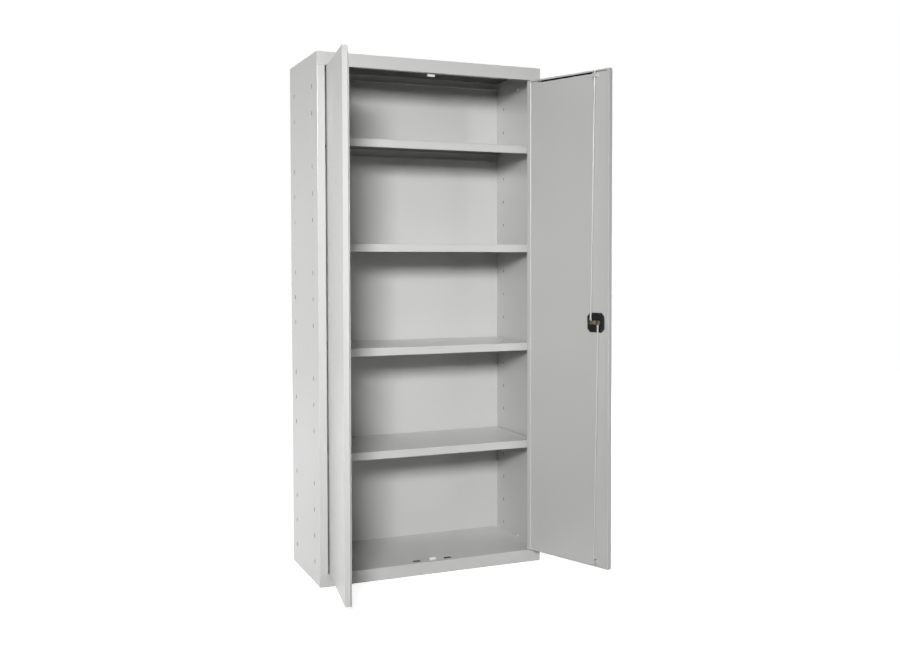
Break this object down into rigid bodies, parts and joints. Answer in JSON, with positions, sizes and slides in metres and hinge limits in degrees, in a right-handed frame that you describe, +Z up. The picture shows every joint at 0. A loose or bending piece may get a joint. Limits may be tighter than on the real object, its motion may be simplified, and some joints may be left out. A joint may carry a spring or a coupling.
{
  "type": "storage cabinet",
  "caption": "Tall free-standing sheet-steel cabinet with two hinged doors, adjustable shelves hung on clips in slotted sides, and a turning grip that works locking rods.",
  "frame": {"origin": "middle of the underside of the lip on which the plinth stands", "axes": "+Z up, front and doors towards -Y, +X to the right of someone who faces the front"},
  "size_m": [1.0522, 0.8461, 2],
  "materials": {
    "powder_coat": "light grey powder coat, fine orange peel, semi-gloss",
    "zinc_steel": "bright zinc plating",
    "white_plastic": "moulded, satin",
    "black_plastic": "moulded, fine grain",
    "yellow_zinc": "yellow passivated zinc",
    "nickel": "nickel plated"
  },
  "bodies": {
    "cabinet": {"left_side_panel": "powder_coat", "right_side_panel": "powder_coat", "back_panel": "powder_coat", "top_panel": "powder_coat", "bottom_panel": "powder_coat", "shelf_1": "powder_coat", "shelf_2": "powder_coat", "shelf_3": "powder_coat", "shelf_4": "powder_coat", "shelf_1_clip_left_front": "zinc_steel", "shelf_1_clip_left_rear": "zinc_steel", "shelf_1_clip_right_front": "zinc_steel", "shelf_1_clip_right_rear": "zinc_steel", "shelf_2_clip_left_front": "zinc_steel", "shelf_2_clip_left_rear": "zinc_steel", "shelf_2_clip_right_front": "zinc_steel", "shelf_2_clip_right_rear": "zinc_steel", "shelf_3_clip_left_front": "zinc_steel", "shelf_3_clip_left_rear": "zinc_steel", "shelf_3_clip_right_front": "zinc_steel", "shelf_3_clip_right_rear": "zinc_steel", "shelf_4_clip_left_front": "zinc_steel", "shelf_4_clip_left_rear": "zinc_steel", "shelf_4_clip_right_front": "zinc_steel", "shelf_4_clip_right_rear": "zinc_steel", "top_door_stop": "white_plastic", "bottom_door_stop": "white_plastic", "left_top_pivot_pin": "zinc_steel", "left_bottom_pivot_pin": "zinc_steel", "right_top_pivot_pin": "zinc_steel", "right_bottom_pivot_pin": "zinc_steel"},
    "left_door": {"left_door_skin": "powder_coat", "left_door_liner": "powder_coat", "overlap_strip": "powder_coat", "left_top_bush": "white_plastic", "left_bottom_bush": "white_plastic"},
    "right_door": {"right_door_skin": "powder_coat", "right_door_liner": "powder_coat", "lock_dish": "black_plastic", "upper_rod_guide": "powder_coat", "lower_rod_guide": "powder_coat", "right_top_bush": "white_plastic", "right_bottom_bush": "white_plastic"},
    "lock_handle": {"grip_handle": "black_plastic", "lock_spindle": "zinc_steel", "lock_cam": "yellow_zinc", "cam_nut": "zinc_steel"},
    "lock_cylinder": {"lock_cylinder": "nickel"},
    "upper_rod": {"upper_rod": "powder_coat"},
    "lower_rod": {"lower_rod": "powder_coat"}
  },
  "joints": [
    {"name": "left_door_hinge", "type": "hinge", "parent": "cabinet", "child": "left_door", "pos_m": [-0.4195, -0.0075, 0.998], "axis": [0, 0, -1], "range_deg": [-98, 17]},
    {"name": "right_door_hinge", "type": "hinge", "parent": "cabinet", "child": "right_door", "pos_m": [0.4195, -0.0075, 0.998], "axis": [0, 0, 1], "range_deg": [-110.5, 4.5]},
    {"name": "lock_handle_turn", "type": "hinge", "parent": "right_door", "child": "lock_handle", "pos_m": [0.54417, -0.34096, 0.99], "axis": [0.9367, 0.3502, 0], "range_deg": [0, 90]},
    {"name": "lock_cylinder_turn", "type": "hinge", "parent": "lock_handle", "child": "lock_cylinder", "pos_m": [0.54417, -0.34096, 0.99], "axis": [0.9367, 0.3502, 0], "range_deg": [0, 90]},
    {"name": "upper_rod_swing", "type": "hinge", "parent": "lock_handle", "child": "upper_rod", "pos_m": [0.53787, -0.3241, 0.99], "axis": [0.9367, 0.3502, 0], "range_deg": [-91.09, 0]},
    {"name": "lower_rod_swing", "type": "hinge", "parent": "lock_handle", "child": "lower_rod", "pos_m": [0.55048, -0.35781, 0.99], "axis": [0.9367, 0.3502, 0], "range_deg": [-91.11, 0]}
  ],
  "couplings": [
    {"joint": "upper_rod_swing", "follows": "lock_handle_turn", "ratio": -1.012},
    {"joint": "lower_rod_swing", "follows": "lock_handle_turn", "ratio": -1.0123}
  ]
}
